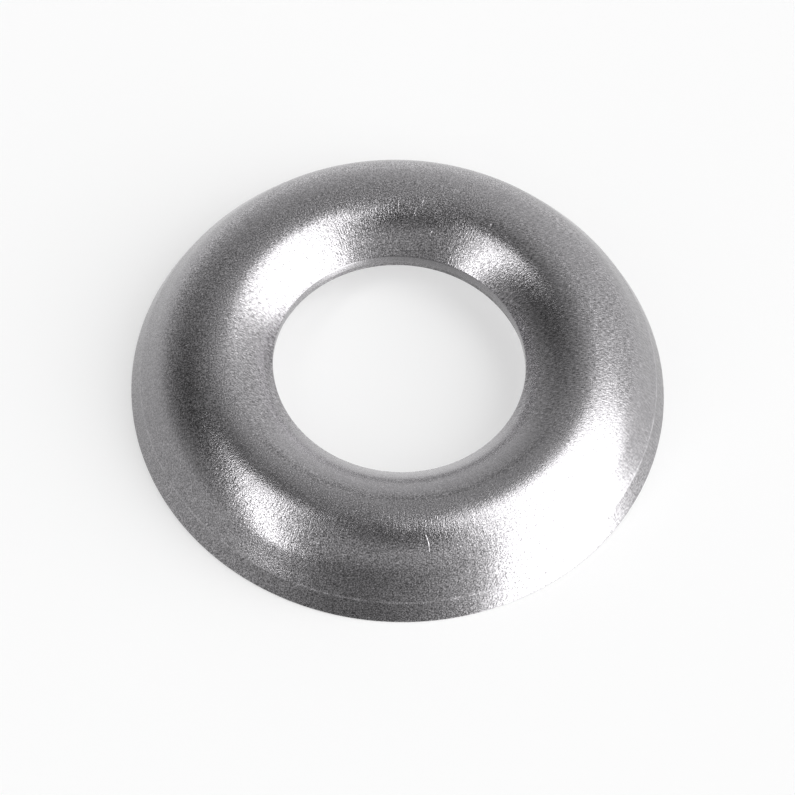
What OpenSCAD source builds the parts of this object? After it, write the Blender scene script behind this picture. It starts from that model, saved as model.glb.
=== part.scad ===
// Finishing cup washer, stamped in one piece from a disc of sheet steel.
// The cup takes the countersunk head of a wood screw, and the rim bears on the work.
// The washer stands on its rim. Its axis is +Z, and the origin is on it, in the plane of the rim.
// Its section has radius along X and height along Y, and is turned about the axis.

/* [Overall] */
// Diameter over the rim, 9/16 inch for a No. 10 screw
outer_d = 14.3; // [13.4:0.1:16]
// Height from the plane of the rim to the crest of the arch
height = 2.2; // [1.9:0.05:2.8]
// Thickness of the sheet
sheet_t = 0.42; // [0.2:0.01:0.6]

/* [Arch] */
// Bend radius of the crest, on the face that is seen
crest_bend_r = 1.85; // [1.2:0.05:2.2]
// Fall of the skirt outside the crest, in degrees below level
skirt_slope = 60; // [45:1:64]
// Included angle of the screw head that the cup takes, in degrees
head_angle = 82; // [75:1:100]

/* [Rim] */
// Height of the crease where the die has squared the foot of the skirt into a steeper band
crease_h = 0.64; // [0.3:0.02:0.8]
// Fall of the band below the crease, in degrees below level
band_slope = 68; // [65:1:80]
// Radius that tumbling leaves on the outer corner of the rim
rim_edge_r = 0.05; // [0.02:0.01:0.12]

/* [Hole] */
// Diameter of the hole, at the smooth wall that the punch leaves
hole_d = 6.74; // [6:0.02:7.6]
// Radius that the punch rolls over the upper edge of the hole
lip_r = 0.08; // [0.03:0.01:0.15]
// Share of the hole's straight wall that is smooth, above the torn wall
land_share = 0.46; // [0.2:0.02:0.8]
// How far the torn wall steps back by the time it meets the underside
torn_step = 0.07; // [0.02:0.01:0.15]

/* [Hidden] */
// Steps of the turned body, and the turn of each facet of the section's bends and edges in degrees
$fn = 180;
bend_facet = 2;
edge_facet = 8;

outer_r = outer_d / 2;
hole_r = hole_d / 2;
cup_slope = 90 - head_angle / 2;

// Directions in which the crest bend meets the skirt and the cup, seen from its centre
skirt_dir = 90 - skirt_slope;
cup_dir = 90 + cup_slope;

// The round on the rim's corner touches the outer diameter, so the corner without it lies outside
corner_r = outer_r - rim_edge_r + rim_edge_r / tan(band_slope / 2);
crease_r = corner_r - crease_h / tan(band_slope);

// The skirt rises straight from the crease until it meets the crest bend
bend_h = height - crest_bend_r;
skirt_top_h = bend_h + crest_bend_r * cos(skirt_slope);
crest_r = crease_r - (skirt_top_h - crease_h) / tan(skirt_slope) - crest_bend_r * sin(skirt_slope);
skirt_under = bend_point(skirt_dir, sheet_t);
foot_r = skirt_under[0] + skirt_under[1] / tan(skirt_slope);

// The rolled edge of the hole touches both the hole's wall and the cup's face
lip_centre = cup_point(hole_r + lip_r, lip_r);
torn_foot = cup_point(hole_r + torn_step, sheet_t);
land_foot_h = lip_centre[1] - land_share * (lip_centre[1] - torn_foot[1]);

// Unit vector at an angle in the plane of the section
function toward(angle) = [cos(angle), sin(angle)];

// Points along a round stretch, facet by facet from one direction to another
function arc(centre, radius, from, to, facet) =
    let (steps = ceil(abs(to - from) / facet))
    [for (i = [0:steps]) centre + radius * toward(from + (to - from) * i / steps)];

// Point of the crest bend in a given direction, at a depth into the sheet
function bend_point(dir, depth) = [crest_r, bend_h] + (crest_bend_r - depth) * toward(dir);

// Direction of a point of the cup on the crest bend, or that of the bend's end for a point past it
function dir_at(r, depth) =
    r < bend_point(cup_dir, depth)[0] ? cup_dir : 90 + asin((crest_r - r) / (crest_bend_r - depth));

// Point of the cup at a radius from the axis, at a depth into the sheet
function cup_point(r, depth) =
    let (bend_end = bend_point(dir_at(r, depth), depth))
    [r, bend_end[1] - (bend_end[0] - r) * tan(cup_slope)];

// Outline of the section, anticlockwise from the inner edge of the flat that the washer stands on
function section() = concat(
    [[foot_r, 0]],
    arc([outer_r - rim_edge_r, rim_edge_r], rim_edge_r, -90, 90 - band_slope, edge_facet),
    [[crease_r, crease_h]],
    arc([crest_r, bend_h], crest_bend_r, skirt_dir, dir_at(lip_centre[0], lip_r), bend_facet),
    arc(lip_centre, lip_r, dir_at(lip_centre[0], lip_r), 180, edge_facet),
    [[hole_r, land_foot_h], torn_foot],
    arc([crest_r, bend_h], crest_bend_r - sheet_t, dir_at(torn_foot[0], sheet_t), skirt_dir, bend_facet)
);

module cup_washer() {
    color([0.60, 0.59, 0.61]) rotate_extrude() polygon(section());
}

cup_washer();
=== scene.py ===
"""Looks of a finishing cup washer: one stamped steel piece on a pale studio floor.

The washer's section is drawn in the XZ plane and spun about the Z axis, with the sizes of its CAD solid.
Lengths are in metres and are written through MM. Angles are in degrees, above level or along the floor.
"""

import logging
import math
from dataclasses import dataclass
from enum import IntEnum

import bmesh
import bpy
from mathutils import Matrix, Vector, noise


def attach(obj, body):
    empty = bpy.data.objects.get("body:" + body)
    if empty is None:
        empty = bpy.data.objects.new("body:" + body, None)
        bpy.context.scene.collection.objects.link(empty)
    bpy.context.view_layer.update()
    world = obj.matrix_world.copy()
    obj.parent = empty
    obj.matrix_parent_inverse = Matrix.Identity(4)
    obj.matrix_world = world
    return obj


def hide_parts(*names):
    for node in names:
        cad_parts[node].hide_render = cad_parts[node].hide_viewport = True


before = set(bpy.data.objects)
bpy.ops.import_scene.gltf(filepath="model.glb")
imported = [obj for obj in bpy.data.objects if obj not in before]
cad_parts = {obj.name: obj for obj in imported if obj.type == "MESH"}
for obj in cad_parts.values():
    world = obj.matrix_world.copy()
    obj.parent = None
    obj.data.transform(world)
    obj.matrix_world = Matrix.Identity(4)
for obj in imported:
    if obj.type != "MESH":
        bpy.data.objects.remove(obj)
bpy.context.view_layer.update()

MM = 0.001
IMAGE_PX = 795
SENSOR_MM = 36.0
NOISE_MEAN = 0.5  # about which the noise nodes vary
LAYER_SHARE = 0.55  # strength of each finer layer of the steel's noise, for that of the one before
log = logging.getLogger("cup_washer")


class Zone(IntEnum):
    """Kinds of surface on the washer, which are also its mesh's material slots."""

    TUMBLED = 0
    SHEARED = 1
    TORN = 2
    UNDERSIDE = 3


def toward(bearing: float, rise: float = 0.0) -> Vector:
    """Returns the unit vector at a bearing along the floor and a rise above it, both in degrees from +X."""
    turn, lift = math.radians(bearing), math.radians(rise)
    return Vector((math.cos(lift) * math.cos(turn), math.cos(lift) * math.sin(turn), math.sin(lift)))


class SectionPen:
    """Draws a section in the XZ plane, one stretch after another, and closes it."""

    def __init__(self, mesh: bmesh.types.BMesh, start: Vector) -> None:
        """Puts the pen down.

        Args:
            mesh: the mesh that takes the section's edges.
            start: the section's first corner.
        """
        self.mesh = mesh
        self.first = bmesh.ops.create_vert(mesh, co=start)["vert"][0]
        self.tip = self.first

    def line_to(self, end: Vector, steps: int = 1) -> None:
        """Draws a straight stretch.

        Args:
            end: where the stretch ends.
            steps: how many edges it is made of.
        """
        stride = (end - self.tip.co) / steps
        for _ in range(steps):
            self.tip = bmesh.ops.extrude_vert_indiv(self.mesh, verts=[self.tip])["verts"][0]
            bmesh.ops.translate(self.mesh, verts=[self.tip], vec=stride)

    def bend(self, centre: Vector, turn: float, steps: int) -> None:
        """Draws a round stretch about a centre.

        Args:
            centre: the centre of the round.
            turn: degrees it turns through, from +X towards +Z where positive.
            steps: how many edges it is made of.
        """
        spun = bmesh.ops.spin(
            self.mesh, geom=[self.tip], cent=centre, axis=(0, -1, 0), angle=math.radians(turn), steps=steps
        )
        self.tip = next(part for part in spun["geom_last"] if isinstance(part, bmesh.types.BMVert))

    def close(self) -> None:
        """Joins the last corner to the first."""
        bmesh.ops.contextual_create(self.mesh, geom=[self.tip, self.first])


@dataclass(frozen=True)
class Facets:
    """How many edges each stretch of the washer's section has, and how many steps a full turn.

    Attributes:
        rim: edges of the flat rim.
        corner: edges of the round on the rim's outer corner.
        band: edges of the steep band.
        skirt: edges of the skirt.
        crest: edges of the crest's bend.
        cup: edges of the cup's straight slope.
        lip: edges of the rolled lip.
        land: edges of the hole's smooth wall.
        torn: edges of its torn wall.
        underside: edges of the bend on the underside.
        softened: edges of each softened corner.
        turn: steps of the full turn.
    """

    rim: int = 3
    corner: int = 10
    band: int = 6
    skirt: int = 8
    crest: int = 56
    cup: int = 3
    lip: int = 6
    land: int = 2
    torn: int = 6
    underside: int = 40
    softened: int = 3
    turn: int = 432


@dataclass(frozen=True)
class Washer:
    """The stamped piece: an arch of one thickness, turned about the axis of its hole.

    Its sizes are those of the CAD solid. The soft corners and the torn wall's roughness are too fine for it.

    Attributes:
        outer_r: radius over the rim.
        height: height of the crest above the rim's plane.
        sheet: thickness of the sheet.
        crest_bend: radius of the crest's bend, on the seen face.
        skirt_slope: fall of the skirt in degrees below level.
        cup_slope: fall of the cup towards the hole in degrees below level.
        crease_h: height of the crease between the skirt and the steeper band.
        band_slope: fall of the band in degrees below level.
        rim_round: radius on the rim's outer corner.
        hole_r: radius of the hole's smooth wall.
        lip_round: radius of the lip at the hole's upper edge.
        land_share: share of the hole's wall that is smooth.
        torn_step: how far the torn wall steps back at its foot.
        crease_soft: how far the round of the crease reaches.
        edge_soft: how far the rounds of the sharp corners reach.
        torn_rough: how deep the torn wall's roughness goes.
        torn_grain: size of that roughness round the hole.
        torn_draw: its size round the hole, as a share of that along the axis.
        torn_mean: share of that depth that has broken away everywhere.
        wall_facing: how squarely a face looks at the axis to count as the hole's wall.
        flat_facing: how squarely a face looks down to count as the rim's cut edge.
        reach: how near to a ring a corner counts as on it.
        weld: how near to each other two corners are merged.
        facets: the fineness of the mesh.
    """

    outer_r: float = 7.15 * MM
    height: float = 2.2 * MM
    sheet: float = 0.42 * MM
    crest_bend: float = 1.85 * MM
    skirt_slope: float = 60.0
    cup_slope: float = 49.0
    crease_h: float = 0.64 * MM
    band_slope: float = 68.0
    rim_round: float = 0.05 * MM
    hole_r: float = 3.37 * MM
    lip_round: float = 0.08 * MM
    land_share: float = 0.46
    torn_step: float = 0.07 * MM
    crease_soft: float = 0.05 * MM
    edge_soft: float = 0.02 * MM
    torn_rough: float = 0.02 * MM
    torn_grain: float = 0.16 * MM
    torn_draw: float = 0.4
    torn_mean: float = 0.5
    wall_facing: float = 0.9
    flat_facing: float = 0.95
    reach: float = 0.002 * MM
    weld: float = 0.0002 * MM
    facets: Facets = Facets()

    def crease_r(self) -> float:
        """Returns the radius of the crease's outer corner, where the band starts."""
        corner = self.outer_r - self.rim_round + self.rim_round / math.tan(math.radians(self.band_slope / 2))
        return corner - self.crease_h / math.tan(math.radians(self.band_slope))

    def crease(self) -> Vector:
        """Returns the outer corner of the crease."""
        return Vector((self.crease_r(), 0, self.crease_h))

    def crest_centre(self) -> Vector:
        """Returns the centre of the crest's bend."""
        slope = math.radians(self.skirt_slope)
        bend_h = self.height - self.crest_bend
        skirt_top = bend_h + self.crest_bend * math.cos(slope)
        inset = (skirt_top - self.crease_h) / math.tan(slope) + self.crest_bend * math.sin(slope)
        return Vector((self.crease_r() - inset, 0, bend_h))

    def on_bend(self, direction: float, depth: float = 0.0) -> Vector:
        """Returns a point of the crest's bend.

        Args:
            direction: degrees above level, seen from the bend's centre.
            depth: how far into the sheet the point lies.

        Returns:
            The point, in the plane of the section.
        """
        angle = math.radians(direction)
        outward = Vector((math.cos(angle), 0, math.sin(angle)))
        return self.crest_centre() + (self.crest_bend - depth) * outward

    def on_cup(self, radius: float, depth: float) -> Vector:
        """Returns the point of the cup's straight slope at a radius, at a depth into the sheet."""
        end = self.on_bend(90 + self.cup_slope, depth)
        return Vector((radius, 0, end.z - (end.x - radius) * math.tan(math.radians(self.cup_slope))))

    def lip_centre(self) -> Vector:
        """Returns the centre of the lip that the punch has rolled over at the hole's upper edge."""
        return self.on_cup(self.hole_r + self.lip_round, self.lip_round)

    def torn_foot(self) -> Vector:
        """Returns the lower end of the hole's torn wall."""
        return self.on_cup(self.hole_r + self.torn_step, self.sheet)

    def land_foot(self) -> Vector:
        """Returns the lower end of the hole's smooth wall."""
        top = self.lip_centre().z
        return Vector((self.hole_r, 0, top - self.land_share * (top - self.torn_foot().z)))

    def foot(self) -> Vector:
        """Returns the inner corner of the flat rim."""
        under = self.on_bend(90 - self.skirt_slope, self.sheet)
        return Vector((under.x + under.z / math.tan(math.radians(self.skirt_slope)), 0, 0))

    def draw_section(self, mesh: bmesh.types.BMesh) -> None:
        """Draws the closed section, anticlockwise from the inner corner of the flat rim.

        Args:
            mesh: the mesh that takes the section's edges.
        """
        skirt_end, cup_end = 90 - self.skirt_slope, 90 + self.cup_slope
        lip_top = self.lip_centre() + self.on_bend(cup_end) - self.on_bend(cup_end, self.lip_round)
        rim_end = self.outer_r - self.rim_round

        pen = SectionPen(mesh, self.foot())
        pen.line_to(Vector((rim_end, 0, 0)), self.facets.rim)
        pen.bend(Vector((rim_end, 0, self.rim_round)), 180 - self.band_slope, self.facets.corner)
        pen.line_to(self.crease(), self.facets.band)
        pen.line_to(self.on_bend(skirt_end), self.facets.skirt)
        pen.bend(self.crest_centre(), cup_end - skirt_end, self.facets.crest)
        pen.line_to(lip_top, self.facets.cup)
        pen.bend(self.lip_centre(), 180 - cup_end, self.facets.lip)
        pen.line_to(self.land_foot(), self.facets.land)
        pen.line_to(self.torn_foot(), self.facets.torn)
        pen.line_to(self.on_bend(cup_end, self.sheet), self.facets.cup)
        pen.bend(self.crest_centre(), skirt_end - cup_end, self.facets.underside)
        pen.close()

    def ring_edges(self, mesh: bmesh.types.BMesh, corner: Vector) -> list[bmesh.types.BMEdge]:
        """Finds the ring that a corner of the section has swept.

        Args:
            mesh: the turned mesh.
            corner: the corner, in the plane of the section.

        Returns:
            The ring's edges.
        """

        def on_ring(vertex: bmesh.types.BMVert) -> bool:
            """Returns whether a vertex lies on the ring."""
            return math.hypot(vertex.co.xy.length - corner.x, vertex.co.z - corner.z) < self.reach

        return [edge for edge in mesh.edges if all(on_ring(vertex) for vertex in edge.verts)]

    def soften(self, mesh: bmesh.types.BMesh, corner: Vector, width: float) -> None:
        """Rounds the ring that a corner of the section has swept.

        Args:
            mesh: the turned mesh.
            corner: the corner, in the plane of the section.
            width: how far the round reaches from the corner.
        """
        bmesh.ops.bevel(
            mesh, geom=self.ring_edges(mesh, corner), offset=width, offset_type="OFFSET", affect="EDGES",
            segments=self.facets.softened, profile=0.5, material=-1, clamp_overlap=True,
        )

    def tear(self, mesh: bmesh.types.BMesh) -> None:
        """Roughens the torn wall, which only ever steps back from the hole.

        Args:
            mesh: the turned mesh, with its corners softened.
        """
        top, foot = self.land_foot().z - self.edge_soft, self.torn_foot().z + self.edge_soft
        for vertex in mesh.verts:
            near_hole = vertex.co.xy.length < self.hole_r + self.torn_step
            if near_hole and foot < vertex.co.z < top:
                share = (vertex.co.z - foot) / (top - foot)
                place = vertex.co / self.torn_grain
                place.z *= self.torn_draw
                depth = self.torn_rough * (self.torn_mean + noise.noise(place)) * math.sin(math.pi * share)
                vertex.co += Vector((vertex.co.x, vertex.co.y, 0)).normalized() * max(depth, 0)

    def zone_of(self, face: bmesh.types.BMFace) -> Zone:
        """Sorts a face by the place it has on the washer.

        Args:
            face: a face of the turned mesh.

        Returns:
            The kind of surface that it belongs to.
        """
        centre = face.calc_center_median()
        radius, normal = centre.xy.length, face.normal
        inward = -normal.xy.dot(centre.xy.normalized())
        if radius < self.hole_r + self.torn_step and inward > self.wall_facing:
            return Zone.SHEARED if centre.z > self.land_foot().z else Zone.TORN
        if normal.z < -self.flat_facing and centre.z < self.edge_soft:
            return Zone.SHEARED
        if normal.z < 0 and radius < self.outer_r - self.rim_round:
            return Zone.UNDERSIDE
        return Zone.TUMBLED

    def build(self, finishes: dict[Zone, bpy.types.Material]) -> bpy.types.Object:
        """Builds the washer and dresses each kind of surface.

        Args:
            finishes: the material of each zone.

        Returns:
            The finished piece, which stands for the CAD solid.
        """
        mesh = bmesh.new()
        self.draw_section(mesh)
        bmesh.ops.spin(
            mesh, geom=mesh.verts[:] + mesh.edges[:], cent=(0, 0, 0), axis=(0, 0, 1), angle=math.tau,
            steps=self.facets.turn, use_merge=True,
        )
        bmesh.ops.remove_doubles(mesh, verts=mesh.verts[:], dist=self.weld)
        bmesh.ops.recalc_face_normals(mesh, faces=mesh.faces[:])
        self.soften(mesh, self.crease(), self.crease_soft)
        for corner in (self.foot(), self.land_foot(), self.torn_foot()):
            self.soften(mesh, corner, self.edge_soft)
        self.tear(mesh)
        mesh.normal_update()
        for face in mesh.faces:
            face.smooth = True
            face.material_index = self.zone_of(face)
        data = bpy.data.meshes.new("washer_shell")
        mesh.to_mesh(data)
        mesh.free()
        for zone in Zone:
            data.materials.append(finishes[zone])
        shell = bpy.data.objects.new("washer_shell", data)
        bpy.context.scene.collection.objects.link(shell)
        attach(shell, "root")
        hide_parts("cup_washer")
        return shell


class Number:
    """A number socket of a node tree, with which shader maths is written as plain arithmetic."""

    def __init__(self, board: "NodeBoard", socket: bpy.types.NodeSocket) -> None:
        """Wraps a socket.

        Args:
            board: the board that adds nodes to the socket's tree.
            socket: the output that carries the number.
        """
        self.board = board
        self.socket = socket

    def math(self, operation: str, *others: "Term") -> "Number":
        """Returns the outcome of a Math node on this number and up to two more."""
        made = self.board.node("ShaderNodeMath", {"operation": operation}, dict(enumerate((self, *others))))
        return Number(self.board, made.outputs[0])

    def __add__(self, other: "Term") -> "Number":
        """Returns the sum."""
        return self.math("ADD", other)

    __radd__ = __add__

    def __mul__(self, other: "Term") -> "Number":
        """Returns the product."""
        return self.math("MULTIPLY", other)

    __rmul__ = __mul__

    def __sub__(self, other: "Term") -> "Number":
        """Returns the difference."""
        return self.math("SUBTRACT", other)

    def __rsub__(self, other: "Term") -> "Number":
        """Returns the difference from a plain number."""
        made = self.board.node("ShaderNodeMath", {"operation": "SUBTRACT"}, {0: other, 1: self})
        return Number(self.board, made.outputs[0])

    def __truediv__(self, other: "Term") -> "Number":
        """Returns the quotient."""
        return self.math("DIVIDE", other)

    def __pow__(self, other: "Term") -> "Number":
        """Returns the power."""
        return self.math("POWER", other)

    def at_least(self, low: "Term") -> "Number":
        """Returns the larger of this number and another."""
        return self.math("MAXIMUM", low)

    def clipped(self) -> "Number":
        """Returns the number, held between 0 and 1."""
        return self.math("MINIMUM", 1.0).math("MAXIMUM", 0.0)

    def tent(self) -> "Number":
        """Returns 1 where the number is 0, falling evenly to 0 at 1 and at -1."""
        return (1.0 - self.math("ABSOLUTE")).at_least(0.0)

    def eased(self) -> "Number":
        """Returns a number between 0 and 1 that leaves both ends of that range softly."""
        return self * self * (3.0 - 2.0 * self)


Term = Number | float


class NodeBoard:
    """Adds nodes to one node tree."""

    def __init__(self, tree: bpy.types.NodeTree) -> None:
        """Takes over a tree and empties it."""
        self.tree = tree
        tree.nodes.clear()

    def node(self, kind: str, settings: dict | None = None, sockets: dict | None = None) -> bpy.types.Node:
        """Adds a node.

        Args:
            kind: the node's type.
            settings: its settings by name, set first.
            sockets: values or links of its inputs, by name or number.

        Returns:
            The node.
        """
        made = self.tree.nodes.new(kind)
        for name, value in (settings or {}).items():
            setattr(made, name, value)
        for name, value in (sockets or {}).items():
            if isinstance(value, Number):
                self.tree.links.new(value.socket, made.inputs[name])
            elif isinstance(value, bpy.types.NodeSocket):
                self.tree.links.new(value, made.inputs[name])
            else:
                made.inputs[name].default_value = value
        return made

    def noise(
        self, place: bpy.types.NodeSocket, scale: float, detail: float, roughness: float = 0.5
    ) -> Number:
        """Adds soft noise.

        Args:
            place: where it is read.
            scale: how many features it has to a unit of place.
            detail: how many finer layers it has.
            roughness: how strong each finer layer is.

        Returns:
            The noise, about NOISE_MEAN.
        """
        sockets = {"Vector": place, "Scale": scale, "Detail": detail, "Roughness": roughness}
        return Number(self, self.node("ShaderNodeTexNoise", sockets=sockets).outputs[0])

    def scaled(self, vector: bpy.types.NodeSocket | tuple, factor: Term) -> bpy.types.NodeSocket:
        """Returns a vector or colour times a factor."""
        sockets = {0: vector, "Scale": factor}
        return self.node("ShaderNodeVectorMath", {"operation": "SCALE"}, sockets).outputs[0]

    def split(self, vector: bpy.types.NodeSocket) -> list[Number]:
        """Returns the three parts of a vector."""
        parts = self.node("ShaderNodeSeparateXYZ", sockets={0: vector})
        return [Number(self, output) for output in parts.outputs]

    def joined(self, *parts: Term) -> bpy.types.NodeSocket:
        """Returns a vector of three numbers."""
        return self.node("ShaderNodeCombineXYZ", sockets=dict(enumerate(parts))).outputs[0]


@dataclass(frozen=True)
class PlanPoint:
    """The point that is being shaded, as it is seen from above, in millimetres.

    Attributes:
        x: its place along X.
        y: its place along Y.
        radius: its distance from the axis.
    """

    x: Number
    y: Number
    radius: Number

    @classmethod
    def of(cls, board: NodeBoard, place_mm: bpy.types.NodeSocket) -> "PlanPoint":
        """Returns the point for object coordinates in millimetres."""
        x, y, _ = board.split(place_mm)
        return cls(x, y, (x * x + y * y) ** 0.5)

    def side(self, bearing: float, spread: float, fade: float) -> Number:
        """Returns how much the point belongs to one side of the washer.

        Args:
            bearing: degrees from +X at the middle of that side.
            spread: cosine of the angle to either side at which it has faded out.
            fade: how steeply it fades; above 1 it stays whole round its middle.

        Returns:
            The mask, from 0 to 1.
        """
        middle = toward(bearing)
        facing = ((self.x * middle.x + self.y * middle.y) / self.radius - spread) / (1 - spread)
        return (facing * fade).clipped()


@dataclass(frozen=True)
class Scratch:
    """A short mark on the seen face, placed in plan as the washer is looked at from above.

    Attributes:
        bearing: degrees from +X about the axis.
        radius: distance from the axis.
        heading: degrees from the outward direction that the mark runs in.
        length: its length in plan.
        width: its width.
        depth: depth of its groove, or of a raised burr where negative.
        bow: how far its middle stands off the line between its ends.
    """

    bearing: float
    radius: float
    heading: float
    length: float
    width: float
    depth: float
    bow: float = 0.0

    def mask(self, board: NodeBoard, plan_mm: bpy.types.NodeSocket) -> Number:
        """Returns how much of the mark lies at a point, from 0 to 1.

        Args:
            board: the material's board.
            plan_mm: object coordinates in millimetres.

        Returns:
            The mask, round in its cross section and tapered at the ends.
        """
        middle = toward(self.bearing) * self.radius / MM
        local = board.node(
            "ShaderNodeMapping", {"vector_type": "TEXTURE"},
            {"Vector": plan_mm, "Location": (middle.x, middle.y, 0),
             "Rotation": (0, 0, math.radians(self.bearing + self.heading)),
             "Scale": (self.length / MM / 2, self.width / MM / 2, 1)},
        ).outputs[0]
        along, across, _ = board.split(local)
        reach = along * along
        off = across + (reach - 1.0) * (self.bow / self.width * 2)
        return (1.0 - reach).at_least(0.0) * (1.0 - off * off).at_least(0.0)


@dataclass(frozen=True)
class WornLineWithGlint:
    """A fine dulled line at one height all round the washer, with a painted glint along it.

    Attributes:
        height: its height above the rim's plane.
        width: half its width, measured upwards.
        dulling: how much rougher its gloss is.
        painted_glint: how much lighter its colour is.
        band_shade: how much darker the steel below it is.
        band_fade: how far below it that shade has fully set in, in half widths.
        breaks: how many breaks it has to a millimetre.
        break_start: level of the noise below which it is broken.
        break_gain: how sharply it is broken.
    """

    height: float
    width: float
    dulling: float
    painted_glint: float
    band_shade: float
    band_fade: float = 2.0
    breaks: float = 2.6
    break_start: float = 0.3
    break_gain: float = 4.0

    def masks(self, board: NodeBoard, place_mm: bpy.types.NodeSocket) -> tuple[Number, Number]:
        """Returns how much a point lies on the dulled line with its painted glint, broken along the line,
        and whether it lies below the line.

        Args:
            board: the material's board.
            place_mm: object coordinates in millimetres.

        Returns:
            The two masks, each from 0 to 1.
        """
        _, _, z = board.split(place_mm)
        off = (z - self.height / MM) / (self.width / MM)
        whole = (board.noise(place_mm, self.breaks, detail=4.0) - self.break_start) * self.break_gain
        return off.tent() * whole.clipped(), (off / -self.band_fade).clipped()


@dataclass(frozen=True)
class RubbedStripAndPaintedLight:
    """A ring-shaped strip that has lost its grain on one side of the washer, with a painted highlight across
    it and a painted shade line that ends it.

    Attributes:
        bearing: degrees from +X at the strip's middle.
        spread: cosine of the angle to either side at which it has faded out.
        inner: radius at which it starts.
        outer: radius of the line that ends it.
        rubbed: share of the grain that is gone.
        lift: how much lighter the strip is painted halfway, as a painted highlight.
        line_width: half the width of the line.
        painted_line_shade: how much darker the line is.
        edge: how far into the strip the grain has fully gone.
        waver: how far the line wanders in and out.
        wavers: how often it does so, to a millimetre.
        fade: how steeply the strip fades round the washer.
    """

    bearing: float
    spread: float
    inner: float
    outer: float
    rubbed: float
    lift: float = 0.0
    line_width: float = 0.13 * MM
    painted_line_shade: float = 0.0
    edge: float = 0.25 * MM
    waver: float = 0.25 * MM
    wavers: float = 1.1
    fade: float = 3.0

    def masks(self, board: NodeBoard, place_mm: bpy.types.NodeSocket) -> tuple[Number, Number]:
        """Returns where the strip lies, and its painted highlight and painted shade line.

        Args:
            board: the material's board.
            place_mm: object coordinates in millimetres.

        Returns:
            How far a point lies in the strip, from 0 to 1, and how much painted shade or painted highlight
            it gets.
        """
        point = PlanPoint.of(board, place_mm)
        side = point.side(self.bearing, self.spread, self.fade)
        waver = (board.noise(place_mm, self.wavers, detail=2.0) - NOISE_MEAN) * (self.waver / MM)
        past = point.radius - self.outer / MM + waver
        into = point.radius - self.inner / MM
        edge, half = self.edge / MM, (self.outer - self.inner) / 2 / MM
        strip = side * (past / -edge).clipped() * (into / edge).clipped()
        # The hump across the strip is a painted highlight, and the line that ends it is a painted shade
        # line.
        line = (past / (self.line_width / MM)).tent()
        sheen_hump = ((into - half) / half).tent()
        return strip, side * (sheen_hump * self.lift - line.eased() * self.painted_line_shade)


@dataclass(frozen=True)
class BrushedSide:
    """One side of the washer, on which the grain is drawn out into short straight strokes.

    Attributes:
        bearing: degrees from +X at the middle of that side.
        spread: cosine of the angle to either side at which the strokes have faded out.
        heading: degrees from +X that the strokes run in, in plan.
        outer: radius past which there are none.
        share: share of the grain that is drawn out.
        gain: how much the drawn-out share strengthens the whole grain.
        width: size of the grain across the strokes.
        length: size of the grain along them.
        fade: how steeply the side fades round the washer.
        outer_fade: how far inside the outer radius the strokes have fully set in.
    """

    bearing: float
    spread: float
    heading: float
    outer: float = 8.0 * MM
    share: float = 0.6
    gain: float = 0.5
    width: float = 0.02 * MM
    length: float = 0.11 * MM
    fade: float = 2.5
    outer_fade: float = 0.5 * MM

    def over(self, grain: Number, board: NodeBoard, place_mm: bpy.types.NodeSocket) -> Number:
        """Returns the grain with this side's strokes in it.

        Args:
            grain: the grain as it is all round.
            board: the material's board.
            place_mm: object coordinates in millimetres.

        Returns:
            The grain, about NOISE_MEAN.
        """
        point, run = PlanPoint.of(board, place_mm), toward(self.heading)
        along = (point.x * run.x + point.y * run.y) * (MM / self.length)
        across = (point.y * run.x - point.x * run.y) * (MM / self.width)
        strokes = board.noise(board.joined(along, across, 0.0), 1.0, detail=0.0)
        inside = (self.outer / MM - point.radius) / (self.outer_fade / MM)
        drawn = point.side(self.bearing, self.spread, self.fade) * inside.clipped() * self.share
        return (grain + (strokes - grain) * drawn - NOISE_MEAN) * (1.0 + drawn * self.gain) + NOISE_MEAN


@dataclass(frozen=True)
class Mottle:
    """How a finish wanders over a few millimetres.

    Attributes:
        shade: how much its colour wanders.
        gloss: how much its roughness wanders.
        patches: how many soft patches it has to a millimetre.
        patch_share: how strongly the patches count.
        clouds: how many smaller clouds it has to a millimetre.
        cloud_share: how strongly the clouds count.
    """

    shade: float = 0.06
    gloss: float = 0.18
    patches: float = 0.9
    patch_share: float = 1.4
    clouds: float = 4.0
    cloud_share: float = 0.8

    def wander(self, board: NodeBoard, place_mm: bpy.types.NodeSocket) -> Number:
        """Returns how far the finish has wandered at a point.

        Args:
            board: the material's board.
            place_mm: object coordinates in millimetres.

        Returns:
            The wandering, about 0.
        """
        patches = board.noise(place_mm, self.patches, detail=2.0, roughness=LAYER_SHARE)
        clouds = board.noise(place_mm, self.clouds, detail=3.0, roughness=LAYER_SHARE)
        return (patches - NOISE_MEAN) * self.patch_share + (clouds - NOISE_MEAN) * self.cloud_share


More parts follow.
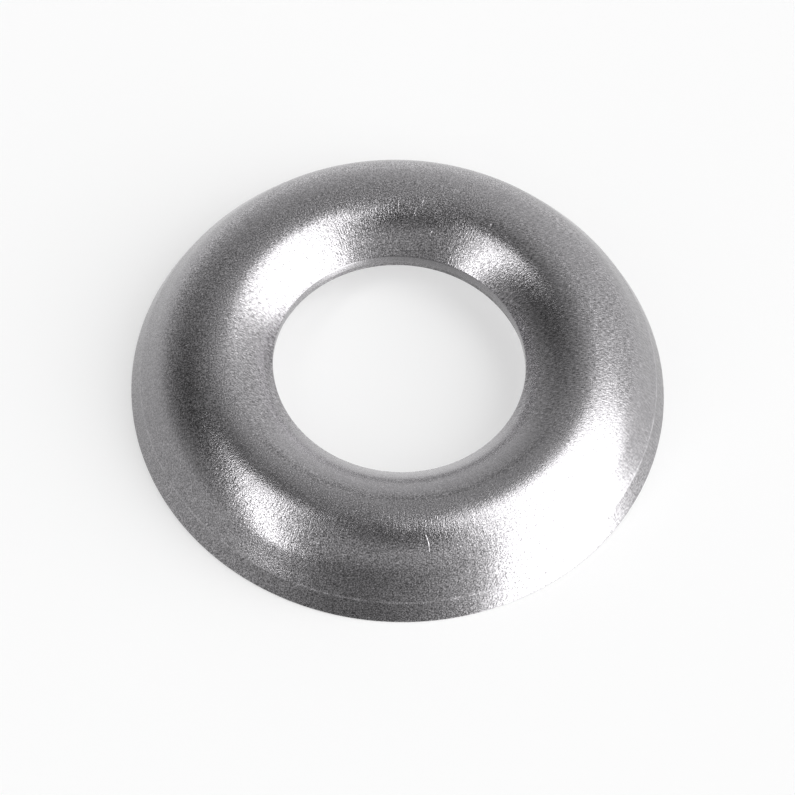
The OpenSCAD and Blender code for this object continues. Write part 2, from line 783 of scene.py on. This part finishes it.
@dataclass(frozen=True)
class SteelFinish:
    """Bare steel in one of the states that stamping and tumbling leave.

    Attributes:
        name: name of the material.
        colour: linear colour of its reflections.
        roughness: mean roughness of its gloss.
        grain: size of the tumbling grain.
        grain_depth: depth of the tumbling grain.
        grain_shade: how much the grain lightens and darkens the colour.
        grain_gloss: how much the grain roughens and smooths the gloss.
        streak_depth: depth of the draw marks that run from the hole to the rim.
        streak_shade: how much the draw marks lighten and darken the colour.
        streak_width: distance between draw marks.
        streak_length: how far a draw mark runs.
        streak_ring: radius at which the draw marks have that distance.
        slope_share: length along the slope for a length in plan, where the draw marks run.
        mottle: how its colour and gloss wander over a few millimetres.
        scratches: single marks on it.
        mark_shade: how much lighter a mark is.
        mark_gloss: how much smoother a mark is.
        wear_and_glint: the dulled line that the die has left round it, with a painted glint along it.
        strips: the strips that have lost their grain, with their painted highlight and painted shade line.
        brushed: the sides on which its grain is drawn out.
    """

    name: str
    colour: tuple[float, float, float] = (0.424, 0.415, 0.428)
    roughness: float = 0.27
    grain: float = 0.036 * MM
    grain_depth: float = 0.003 * MM
    grain_shade: float = 2.4
    grain_gloss: float = 0.08
    streak_depth: float = 0.003 * MM
    streak_shade: float = 0.3
    streak_width: float = 0.06 * MM
    streak_length: float = 0.6 * MM
    streak_ring: float = 5.3 * MM
    slope_share: float = 1.6
    mottle: Mottle = Mottle()
    scratches: tuple[Scratch, ...] = ()
    mark_shade: float = 0.1
    mark_gloss: float = 0.03
    wear_and_glint: WornLineWithGlint | None = None
    strips: tuple[RubbedStripAndPaintedLight, ...] = ()
    brushed: tuple[BrushedSide, ...] = ()

    def material(self) -> bpy.types.Material:
        """Builds the finish on a node tree that reads object coordinates.

        Returns:
            The material.
        """
        made = bpy.data.materials.new(self.name)
        made.use_nodes = True
        board = NodeBoard(made.node_tree)
        place = board.scaled(board.node("ShaderNodeTexCoord").outputs["Object"], 1 / MM)

        grain = self.tumbling(board, place)
        streaks = self.draw_marks(board, place)
        masks = [scratch.mask(board, place) for scratch in self.scratches]
        height = grain * (self.grain_depth / MM) + streaks * (self.streak_depth / MM)
        for scratch, mask in zip(self.scratches, masks):
            height = height - mask * (scratch.depth / MM)

        speckle_and_painted_light = (grain + NOISE_MEAN) ** self.grain_shade - 1.0
        # The strips take grain away and add their painted highlight and painted shade line to the colour.
        for strip in self.strips:
            rubbed, painted_light = strip.masks(board, place)
            speckle_and_painted_light = speckle_and_painted_light * (1.0 - rubbed * strip.rubbed) + painted_light
        wander = self.mottle.wander(board, place)
        roughness = self.roughness * (1.0 + wander * self.mottle.gloss)
        roughness = roughness + (grain - NOISE_MEAN) * self.grain_gloss
        shade = 1.0 + wander * self.mottle.shade + speckle_and_painted_light + (streaks - NOISE_MEAN) * self.streak_shade
        if masks:
            marked = sum(masks).clipped()
            roughness = roughness - marked * self.mark_gloss
            shade = shade + marked * self.mark_shade
        if self.wear_and_glint is not None:
            worn_and_glint, below = self.wear_and_glint.masks(board, place)
            roughness = roughness + worn_and_glint * self.wear_and_glint.dulling
            # The line's lighter colour is a painted glint; its dulling is real wear, and the band below is
            # simply darker.
            shade = shade + worn_and_glint * self.wear_and_glint.painted_glint - below * self.wear_and_glint.band_shade

        bump = board.node("ShaderNodeBump", sockets={"Strength": 1.0, "Distance": MM, "Height": height})
        shader = board.node(
            "ShaderNodeBsdfPrincipled",
            sockets={
                "Base Color": board.scaled(self.colour, shade),
                "Metallic": 1.0,
                "Roughness": roughness.clipped(),
                "Normal": bump.outputs[0],
            },
        )
        board.node("ShaderNodeOutputMaterial", sockets={"Surface": shader.outputs[0]})
        return made

    def tumbling(self, board: NodeBoard, place_mm: bpy.types.NodeSocket) -> Number:
        """Returns the grain that tumbling leaves.

        Args:
            board: the material's board.
            place_mm: object coordinates in millimetres.

        Returns:
            The grain, about NOISE_MEAN.
        """
        grain = board.noise(place_mm, MM / self.grain, detail=0.0)
        for side in self.brushed:
            grain = side.over(grain, board, place_mm)
        return grain

    def draw_marks(self, board: NodeBoard, place_mm: bpy.types.NodeSocket) -> Number:
        """Returns the draw marks, which fan out from the hole and fade in and out along the slope.

        Args:
            board: the material's board.
            place_mm: object coordinates in millimetres.

        Returns:
            The marks, about NOISE_MEAN.
        """
        point = PlanPoint.of(board, place_mm)
        fan = self.streak_ring / self.streak_width
        along = point.radius * (self.slope_share * MM / self.streak_length)
        run = board.joined(point.x / point.radius * fan, point.y / point.radius * fan, along)
        return board.noise(run, 1.0, detail=2.0, roughness=LAYER_SHARE)


@dataclass(frozen=True)
class SkyLobe:
    """A soft lighter or darker side of the studio, seen from the washer.

    Attributes:
        bearing: degrees from +X at its middle.
        rise: degrees above the floor at its middle.
        level: radiance that it adds there, or takes away where negative.
        sharpness: how narrow it is.
    """

    bearing: float
    rise: float
    level: float
    sharpness: float


@dataclass(frozen=True)
class Softbox:
    """A rectangular lamp with a cloth front that faces the washer.

    Attributes:
        name: name of the lamp.
        bearing: degrees from +X that it stands at.
        rise: degrees of its centre above the floor.
        lean: degrees it is turned anticlockwise, as the washer sees it.
        half_width: half its width for each metre of distance.
        half_height: half its height for each metre of distance.
        glow: radiance of its front.
    """

    name: str
    bearing: float
    rise: float
    lean: float
    half_width: float
    half_height: float
    glow: float

    def build(self, distance: float) -> bpy.types.Object:
        """Hangs the lamp.

        Args:
            distance: how far from the washer it hangs.

        Returns:
            The lamp.
        """
        width, tall = 2 * self.half_width * distance, 2 * self.half_height * distance
        light = bpy.data.lights.new(self.name, "AREA")
        light.shape = "RECTANGLE"
        light.size, light.size_y = width, tall
        light.energy = self.glow * math.pi * width * tall
        lamp = bpy.data.objects.new(self.name, light)
        bpy.context.scene.collection.objects.link(lamp)
        away = toward(self.bearing, self.rise)
        facing = away.to_track_quat("Z", "Y").to_matrix().to_4x4()
        lamp.matrix_world = (
            Matrix.Translation(away * distance) @ facing @ Matrix.Rotation(math.radians(-self.lean), 4, "Z")
        )
        lamp.visible_camera = False
        return lamp


@dataclass(frozen=True)
class Studio:
    """The pale floor, the soft light all round and the two softboxes.

    The floor is hidden from reflections. In them the washer sees the lower half of the world instead.

    Attributes:
        floor_r: radius of the floor.
        floor_facets: corners of the floor's outline.
        floor_colour: colour of the floor where light falls on it.
        floor_white: share of plain white in the floor, as the camera sees it.
        lamp_distance: how far from the washer the softboxes hang.
        sky_level: radiance of the sky.
        ground_level: radiance of the world's lower half.
        least_level: radiance that the darkest side keeps.
        horizon_width: height of the zone in which sky and ground blend.
        lobes: the lighter and darker sides.
        softboxes: the lamps.
    """

    floor_r: float = 3.0
    floor_facets: int = 96
    floor_colour: tuple[float, float, float, float] = (0.88, 0.88, 0.88, 1)
    floor_white: float = 0.5
    lamp_distance: float = 1.2
    sky_level: float = 0.859
    ground_level: float = 1.02
    least_level: float = 0.03
    horizon_width: float = 0.2
    lobes: tuple[SkyLobe, ...] = (
        SkyLobe(bearing=113, rise=-11.6, level=0.186, sharpness=4.98),
        SkyLobe(bearing=164, rise=45.7, level=-0.789, sharpness=2.0),
        SkyLobe(bearing=311, rise=72.0, level=-0.56, sharpness=12.0),
        SkyLobe(bearing=265, rise=-18.0, level=-0.76, sharpness=2.69),
        SkyLobe(bearing=140, rise=-59.9, level=-0.355, sharpness=2.48),
        SkyLobe(bearing=94, rise=-54.0, level=0.3, sharpness=24.0),
        SkyLobe(bearing=48, rise=-24.0, level=-0.15, sharpness=7.0),
    )
    softboxes: tuple[Softbox, ...] = (
        Softbox(
            "softbox_right", bearing=-17.8, rise=12.8, lean=15.9,
            half_width=0.542, half_height=2.5, glow=2.98,
        ),
        Softbox(
            "softbox_left", bearing=215, rise=37.3, lean=-23.3,
            half_width=0.082, half_height=0.75, glow=4.78,
        ),
    )

    def build(self) -> None:
        """Lays the floor, lights the sky and hangs the lamps."""
        self.lay_floor()
        self.light_sky()
        for softbox in self.softboxes:
            softbox.build(self.lamp_distance)

    def lay_floor(self) -> bpy.types.Object:
        """Lays the round floor in the plane of the washer's rim.

        Returns:
            The floor.
        """
        mesh = bmesh.new()
        bmesh.ops.create_circle(mesh, cap_ends=True, radius=self.floor_r, segments=self.floor_facets)
        data = bpy.data.meshes.new("studio_floor")
        mesh.to_mesh(data)
        mesh.free()
        data.materials.append(self.floor_finish())
        floor = bpy.data.objects.new("studio_floor", data)
        bpy.context.scene.collection.objects.link(floor)
        floor.visible_glossy = False
        floor.visible_shadow = False
        return floor

    def floor_finish(self) -> bpy.types.Material:
        """Builds the floor's white: partly lit, so that it keeps a light shadow, and clear from below.

        Returns:
            The material.
        """
        made = bpy.data.materials.new("studio_white")
        made.use_nodes = True
        board = NodeBoard(made.node_tree)
        matt = board.node("ShaderNodeBsdfDiffuse", sockets={"Color": self.floor_colour})
        white = board.node("ShaderNodeEmission", sockets={"Color": (1, 1, 1, 1), "Strength": 1.0})
        path = board.node("ShaderNodeLightPath").outputs
        rays = ("Is Camera Ray", "Is Glossy Ray", "Is Transmission Ray")
        seen = [Number(board, path[ray]) for ray in rays]
        share = (seen[0] + seen[1] + seen[2]).clipped() * self.floor_white
        lit = board.node("ShaderNodeMixShader", sockets={0: share, 1: matt.outputs[0], 2: white.outputs[0]})
        clear = board.node("ShaderNodeBsdfTransparent")
        back = board.node("ShaderNodeNewGeometry").outputs["Backfacing"]
        top = board.node("ShaderNodeMixShader", sockets={0: back, 1: lit.outputs[0], 2: clear.outputs[0]})
        board.node("ShaderNodeOutputMaterial", sockets={"Surface": top.outputs[0]})
        return made

    def light_sky(self) -> None:
        """Lights the world by direction: a soft sky, a soft ground and the lobes."""
        world = bpy.data.worlds.new("studio_sky")
        world.use_nodes = True
        bpy.context.scene.world = world
        board = NodeBoard(world.node_tree)
        direction = board.node("ShaderNodeTexCoord").outputs["Generated"]
        _, _, rise = board.split(direction)
        blend = (rise / self.horizon_width + 0.5).clipped().eased()
        level = self.ground_level + blend * (self.sky_level - self.ground_level)
        for lobe in self.lobes:
            aim = board.node(
                "ShaderNodeVectorMath", {"operation": "DOT_PRODUCT"},
                {0: direction, 1: tuple(toward(lobe.bearing, lobe.rise))},
            )
            off = Number(board, aim.outputs["Value"]) - 1.0
            level = level + (off * lobe.sharpness).math("EXPONENT") * lobe.level
        shade = level.at_least(self.least_level)
        glow = board.node("ShaderNodeBackground", sockets={"Color": board.joined(shade, shade, shade)})
        board.node("ShaderNodeOutputWorld", sockets={"Surface": glow.outputs[0]})


@dataclass(frozen=True)
class PhotoCamera:
    """The camera of the photograph.

    Attributes:
        elevation: degrees above the floor.
        distance: distance from the origin.
        turn: degrees that it is turned about its own line of sight.
        px_per_mm: pixels for a millimetre at the origin.
        origin_px: where the origin lies in the photograph, from its upper left corner.
        clip: the nearest and the farthest that it sees.
    """

    elevation: float = 58.69
    distance: float = 143 * MM
    turn: float = 3.28
    px_per_mm: float = 37.234
    origin_px: tuple[float, float] = (397.89, 389.21)
    clip: tuple[float, float] = (10 * MM, 20.0)

    def build(self) -> bpy.types.Object:
        """Sets the camera up.

        Returns:
            The camera.
        """
        focus_px = self.px_per_mm * self.distance / MM
        data = bpy.data.cameras.new("photo_camera")
        data.sensor_width = SENSOR_MM
        data.lens = focus_px / IMAGE_PX * SENSOR_MM
        data.clip_start, data.clip_end = self.clip
        camera = bpy.data.objects.new("photo_camera", data)
        bpy.context.scene.collection.objects.link(camera)
        stand = toward(-90, self.elevation) * self.distance
        level = stand.to_track_quat("Z", "Y").to_matrix().to_4x4()
        roll = Matrix.Rotation(math.radians(self.turn), 4, "Z")
        right_px, up_px = self.origin_px[0] - IMAGE_PX / 2, IMAGE_PX / 2 - self.origin_px[1]
        yaw = Matrix.Rotation(math.atan(right_px / focus_px), 4, "Y")
        pitch = Matrix.Rotation(-math.atan(up_px / focus_px), 4, "X")
        camera.matrix_world = Matrix.Translation(stand) @ level @ roll @ yaw @ pitch
        bpy.context.scene.camera = camera
        return camera


def single_marks() -> tuple[Scratch, ...]:
    """Lists the marks on the seen face, with their bearing and heading in degrees and their lengths in mm.

    Returns:
        The marks.
    """
    return tuple(
        Scratch(bearing, radius * MM, heading, length * MM, width * MM, depth * MM, bow * MM)
        for bearing, radius, heading, length, width, depth, bow in (
            (279.8, 5.92, 8, 0.58, 0.06, 0.005, 0.05),
            (274.2, 5.10, 10, 0.10, 0.05, 0.004, 0),
            (275.5, 5.50, 6, 0.24, 0.045, 0.0012, 0),
            (265.5, 5.55, 4, 0.30, 0.045, 0.001, 0),
            (283.5, 5.25, -4, 0.26, 0.04, 0.0008, 0),
            (258.0, 5.30, 12, 0.20, 0.045, 0.0008, 0),
            (261.2, 5.75, -6, 0.24, 0.04, 0.0008, 0),
            (288.0, 5.60, 14, 0.22, 0.045, 0.0008, 0),
            (293.8, 5.37, 30, 0.16, 0.06, 0.002, 0),
            (252.5, 5.45, 0, 0.18, 0.05, 0.001, 0),
            (270.5, 6.15, 3, 0.30, 0.04, 0.0008, 0),
            (247.0, 6.30, -8, 0.34, 0.04, 0.0008, 0),
            (182.5, 5.65, 20, 0.24, 0.05, 0.003, 0),
            (188.0, 5.15, -30, 0.22, 0.04, 0.002, 0),
            (80.5, 3.91, -12, 0.20, 0.05, 0.003, 0),
            (84.8, 4.70, -8, 0.34, 0.05, 0.003, 0),
            (79.0, 5.00, 0, 0.16, 0.05, 0.004, 0),
            (76.2, 5.21, 0, 0.22, 0.05, 0.003, 0),
            (84.0, 5.12, -65, 0.36, 0.04, 0.002, 0),
            (87.2, 4.35, -20, 0.34, 0.05, 0.003, 0),
            (60.5, 4.61, 0, 0.12, 0.08, 0.006, 0),
            (43.8, 5.25, 15, 0.16, 0.05, 0.003, 0),
            (266.0, 3.80, 0, 0.09, 0.09, 0.012, 0),
            (271.8, 3.95, 0, 0.05, 0.06, 0.008, 0),
            (304.8, 3.78, 0, 0.06, 0.07, 0.010, 0),
        )
    )


def steel_finishes() -> dict[Zone, bpy.types.Material]:
    """Makes the washer's finishes.

    Returns:
        The material of each kind of surface.
    """
    strips = (
        # The first strip, in front of the hole, also carries a painted highlight and a painted shade line.
        RubbedStripAndPaintedLight(
            bearing=275, spread=0.5, inner=3.3 * MM, outer=4.64 * MM, rubbed=0.65, lift=0.2, painted_line_shade=0.2
        ),
        RubbedStripAndPaintedLight(bearing=270, spread=0.4, inner=4.5 * MM, outer=5.9 * MM, rubbed=0.35),
        RubbedStripAndPaintedLight(bearing=90, spread=0.4, inner=5.1 * MM, outer=6.0 * MM, rubbed=0.4),
        RubbedStripAndPaintedLight(bearing=90, spread=-0.87, inner=6.1 * MM, outer=8 * MM, rubbed=0.5),
    )
    brushed = (
        BrushedSide(bearing=170, spread=0.5, heading=-20, outer=5.0 * MM),
        BrushedSide(bearing=10, spread=0.5, heading=4),
        BrushedSide(bearing=317, spread=0.85, heading=60, share=0.4),
    )
    # The crease line is dulled and also painted lighter, as a painted glint.
    crease = WornLineWithGlint(height=0.64 * MM, width=0.04 * MM, dulling=0.15, painted_glint=0.35, band_shade=0.06)
    finishes = {
        Zone.TUMBLED: SteelFinish(
            "tumbled_steel", scratches=single_marks(), wear_and_glint=crease, strips=strips, brushed=brushed
        ),
        Zone.SHEARED: SteelFinish(
            "sheared_steel", grain_depth=0.0015 * MM, grain_shade=0.6, streak_depth=0.001 * MM
        ),
        Zone.TORN: SteelFinish(
            "torn_steel", colour=(0.30, 0.293, 0.303), roughness=0.45,
            grain_depth=0.008 * MM, streak_depth=0.004 * MM,
        ),
        # The underside's lighter colour is partly the listed steel colour, partly a painted reflection of
        # the white floor, which reflections don't see.
        Zone.UNDERSIDE: SteelFinish("underside_steel", colour=(0.6, 0.59, 0.605), roughness=0.36),
    }
    return {zone: finish.material() for zone, finish in finishes.items()}


def main() -> None:
    """Builds the camera, the studio and the washer, and reports each."""
    logging.basicConfig(level=logging.INFO, format="%(name)s: %(message)s")
    camera = PhotoCamera().build()
    log.info("%s has a %.1f mm lens", camera.name, camera.data.lens)
    Studio().build()
    log.info("studio has its floor, sky and softboxes")
    shell = Washer().build(steel_finishes())
    log.info("%s has %d faces", shell.name, len(shell.data.polygons))
    bpy.context.scene.view_settings.view_transform = "Standard"


if __name__ == "__main__":
    main()
